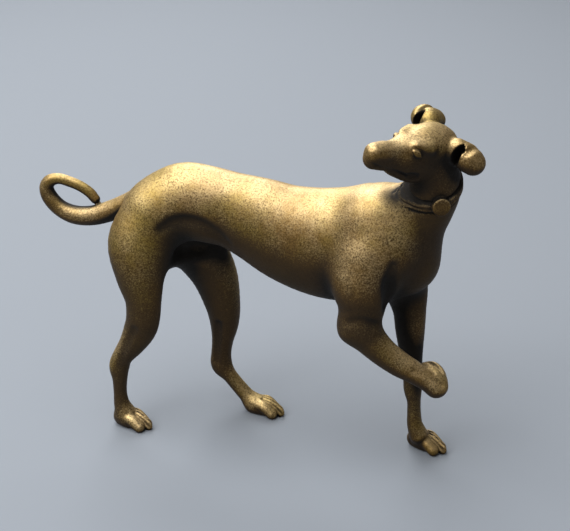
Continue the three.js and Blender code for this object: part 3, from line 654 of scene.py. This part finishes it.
class Nodes:
    """Short ways to make and join shader nodes."""

    def __init__(self, name):
        self.material = bpy.data.materials.new(name)
        self.material.use_nodes = True
        self.tree = self.material.node_tree
        self.shader = self.tree.nodes["Principled BSDF"]

    def add(self, kind, inputs=(), **settings):
        node = self.tree.nodes.new(kind)
        for key, value in settings.items():
            setattr(node, key, value)
        for key, value in dict(inputs).items():
            self.put(node.inputs[key], value)
        return node

    def put(self, socket, value):
        if isinstance(value, bpy.types.NodeSocket):
            self.tree.links.new(value, socket)
        else:
            socket.default_value = value

    def noise(self, scale, detail=3.0, roughness=0.55):
        where = self.add("ShaderNodeTexCoord").outputs["Object"]
        return self.add("ShaderNodeTexNoise", {
            "Vector": where, "Scale": scale, "Detail": detail, "Roughness": roughness
        }).outputs["Fac"]

    def ramp(self, value, low, high, start=0.0, end=1.0):
        """Maps low..high to start..end, held at both ends."""
        return self.add("ShaderNodeMapRange", {
            "Value": value, "From Min": low, "From Max": high, "To Min": start, "To Max": end
        }).outputs["Result"]

    def mix(self, factor, a, b):
        node = self.add("ShaderNodeMix", data_type="RGBA")
        self.put(node.inputs["Factor"], factor)
        self.put(node.inputs[6], a)
        self.put(node.inputs[7], b)
        return node.outputs[2]

    def maths(self, operation, a, b):
        node = self.add("ShaderNodeMath", operation=operation)
        self.put(node.inputs[0], a)
        self.put(node.inputs[1], b)
        return node.outputs[0]

    def bump(self, height, strength, distance):
        return self.add("ShaderNodeBump", {
            "Height": height, "Strength": strength, "Distance": distance}).outputs["Normal"]


# Bright brass for painted top light and wear.
LIT_AND_RUBBED_BRASS = (0.80, 0.60, 0.31, 1)
BROWN_BRASS = (0.28, 0.165, 0.05, 1)
OLIVE_BRASS = (0.37, 0.27, 0.05, 1)
# Umber for painted shade underneath and under overhangs.
PAINTED_SHADE_UMBER = (0.085, 0.048, 0.02, 1)
SPECK = (0.06, 0.034, 0.015, 1)
# Near black for painted shade and dark patina in hollows.
CREVICE_SHADE_AND_PATINA = (0.010, 0.007, 0.004, 1)
PALE_GREY = (0.25, 0.275, 0.31, 1)
WARM_SKY = (0.85, 0.82, 0.79, 1)


def aged_brass():
    """Brown patina with painted top light and wear on up-facing parts, painted shade underneath and
    under overhangs, finely specked, near black in the hollows from painted shade and dark patina.
    """
    n = Nodes("aged_brass")
    shelter = n.add("ShaderNodeAttribute", attribute_name="shelter").outputs["Fac"]
    up = n.add("ShaderNodeSeparateXYZ", {
        "Vector": n.add("ShaderNodeTexCoord").outputs["Normal"]}).outputs["Z"]
    clouds = n.noise(130, 4)
    drifts = n.noise(55, 3)
    grain = n.noise(2600, 3, 0.7)
    specks = n.noise(2300, 4, 0.7)
    patchy = n.maths("ADD", clouds, n.maths("MULTIPLY", grain, 0.7))
    # Painted top light with wear: up-facing parts turn to the bright brass, mixed with random
    # patches.
    top_light_and_wear = n.maths("ADD", n.maths("MULTIPLY", up, 0.45), patchy)
    colour = n.mix(n.ramp(top_light_and_wear, 0.8, 1.4), BROWN_BRASS, LIT_AND_RUBBED_BRASS)
    colour = n.mix(n.ramp(drifts, 0.45, 0.7, 0, 0.6), colour, OLIVE_BRASS)
    overhead_shadow = n.add("ShaderNodeAttribute", attribute_name="overhead_shadow").outputs["Fac"]
    # Painted shade: down-facing parts and parts under an overhang darken to umber, broken up by
    # random clouds and grain.
    under = n.maths("SUBTRACT", n.maths("MULTIPLY", clouds, 0.5), up)
    under = n.maths("ADD", under, n.maths("MULTIPLY", overhead_shadow, 0.9))
    under = n.maths("SUBTRACT", under, n.ramp(grain, 0.35, 0.65, -0.5, 0.5))
    colour = n.mix(n.ramp(under, 0, 1.1, 0, 0.9), colour, PAINTED_SHADE_UMBER)
    speckled = n.maths("MULTIPLY", n.ramp(specks, 0.46, 0.64), n.ramp(clouds, 0.3, 0.65, 0.5, 0.95))
    speckled = n.maths("MULTIPLY", speckled, n.ramp(up, 0.3, 1, 1, 0.8))
    colour = n.mix(speckled, colour, SPECK)
    # Painted shade with dark patina: sheltered and overhung places go near black, less so where they
    # face up.
    sunk = n.maths("ADD", shelter, n.maths("MULTIPLY", clouds, 0.1))
    sunk = n.maths("SUBTRACT", sunk, n.maths("MULTIPLY", up, 0.12))
    sunk = n.maths("ADD", sunk, n.maths("MULTIPLY", overhead_shadow, 0.24))
    hollow = n.ramp(sunk, 0.16, 0.56)
    colour = n.mix(hollow, colour, CREVICE_SHADE_AND_PATINA)
    n.put(n.shader.inputs["Base Color"], colour)
    n.put(n.shader.inputs["Metallic"], n.ramp(hollow, 0, 1, 0.92, 0.5))
    rough = n.maths("ADD", n.ramp(grain, 0.3, 0.7, 0.42, 0.6), n.ramp(hollow, 0, 1, 0, 0.2))
    n.put(n.shader.inputs["Roughness"], rough)
    height = n.maths("ADD", n.noise(1100, 2), n.maths("MULTIPLY", grain, 0.7))
    n.put(n.shader.inputs["Normal"], n.bump(height, 0.4, 0.0001))
    return n.material


def pale_floor():
    n = Nodes("pale_floor")
    n.put(n.shader.inputs["Base Color"], PALE_GREY)
    n.put(n.shader.inputs["Roughness"], 0.9)
    return n.material


# The pieces, the floor, the lights and the camera

casting = build_casting()
casting.data.materials.append(aged_brass())
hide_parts("dog_figure")
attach(casting, "root")


def add_floor(size=3.0):
    mesh = bpy.data.meshes.new("floor")
    half = size / 2
    mesh.from_pydata([(-half, -half, 0), (half, -half, 0), (half, half, 0), (-half, half, 0)],
                     [], [(0, 1, 2, 3)])
    mesh.materials.append(pale_floor())
    floor = bpy.data.objects.new("floor", mesh)
    bpy.context.scene.collection.objects.link(floor)


LIGHT_AIM = (0, 0, 0.05)   # the middle of the dog


def add_light(name, place, size, power):
    data = bpy.data.lights.new(name, "AREA")
    data.shape, data.size, data.energy = "DISK", size, power
    light = bpy.data.objects.new(name, data)
    light.location = place
    light.rotation_euler = (Vector(LIGHT_AIM) - Vector(place)).to_track_quat("-Z", "Y").to_euler()
    bpy.context.scene.collection.objects.link(light)


def add_world(colour, strength):
    world = bpy.data.worlds.new("studio")
    world.use_nodes = True
    background = world.node_tree.nodes["Background"]
    background.inputs["Color"].default_value = colour
    background.inputs["Strength"].default_value = strength
    bpy.context.scene.world = world


# The camera looks down on the dog's right side. Its pixels are 0.27 mm at the target.
CAMERA_AZIMUTH, CAMERA_ELEVATION = 16, 24
CAMERA_DISTANCE = 0.42
CAMERA_TARGET = Vector((0.0086, 0.0044, 0.0512))
IMAGE_WIDTH, PIXEL_AT_TARGET, SENSOR = 570, 0.00027, 36


def add_camera():
    data = bpy.data.cameras.new("camera")
    data.sensor_width = SENSOR
    data.sensor_fit = "HORIZONTAL"
    data.lens = SENSOR * CAMERA_DISTANCE / (IMAGE_WIDTH * PIXEL_AT_TARGET)
    data.clip_start = 0.01
    camera = bpy.data.objects.new("camera", data)
    azimuth, elevation = math.radians(CAMERA_AZIMUTH), math.radians(CAMERA_ELEVATION)
    away = Vector((math.sin(azimuth) * math.cos(elevation),
                   -math.cos(azimuth) * math.cos(elevation), math.sin(elevation)))
    camera.location = CAMERA_TARGET + away * CAMERA_DISTANCE
    camera.rotation_euler = (-away).to_track_quat("-Z", "Y").to_euler()
    bpy.context.scene.collection.objects.link(camera)
    bpy.context.scene.camera = camera


add_floor()
add_camera()
add_world(WARM_SKY, strength=0.2)
add_light("overhead", (-0.22, -0.14, 0.7), size=0.9, power=8)
add_light("back_left", (-0.25, 0.5, 0.5), size=0.5, power=3)
add_light("front_left", (-0.45, -0.6, 0.55), size=0.4, power=1.2)
bpy.context.scene.view_settings.view_transform = "Standard"
